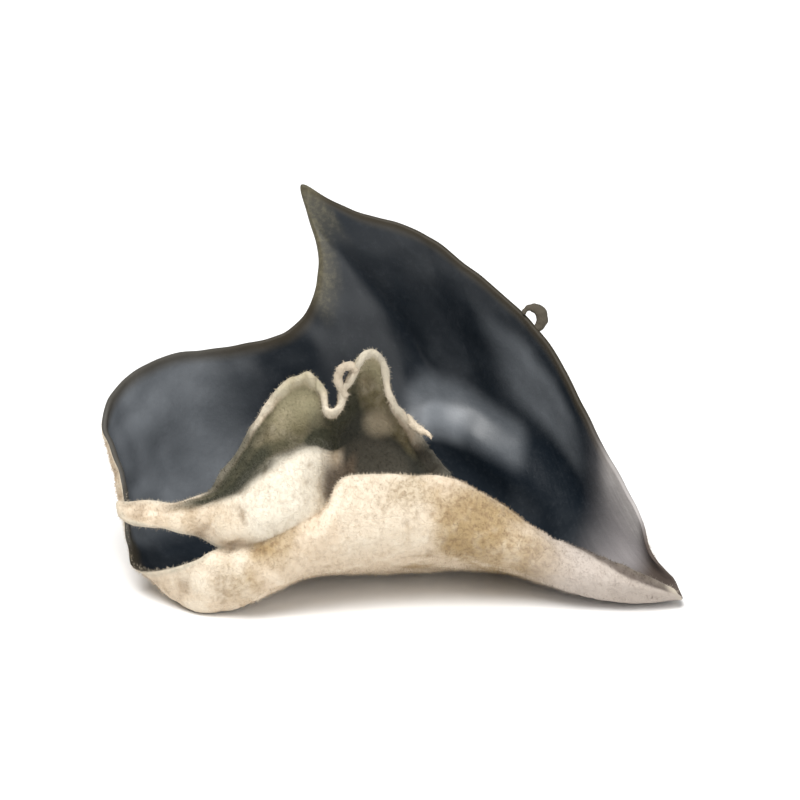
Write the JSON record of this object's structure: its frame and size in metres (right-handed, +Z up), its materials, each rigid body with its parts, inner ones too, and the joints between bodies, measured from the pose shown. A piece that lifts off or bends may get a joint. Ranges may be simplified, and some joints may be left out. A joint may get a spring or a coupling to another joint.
{
  "type": "dried wood ear mushroom",
  "caption": "Dried ear-shaped fungus, a thin bowl-shaped sheet with a high back wall, rolled front margin and pointed tip, lying on its belly.",
  "frame": {"origin": "on the surface that the ear lies on, under the middle of its box", "axes": "+X along the ear to its pointed tip, +Y towards its high back wall, +Z up"},
  "size_m": [0.0498, 0.0304, 0.0283],
  "materials": {
    "ear_tissue": "dry: downy cream to tan outside, smooth blue-black inside with a dull sheen"
  },
  "bodies": {
    "root": {"fruit_body": "ear_tissue"}
  },
  "joints": []
}
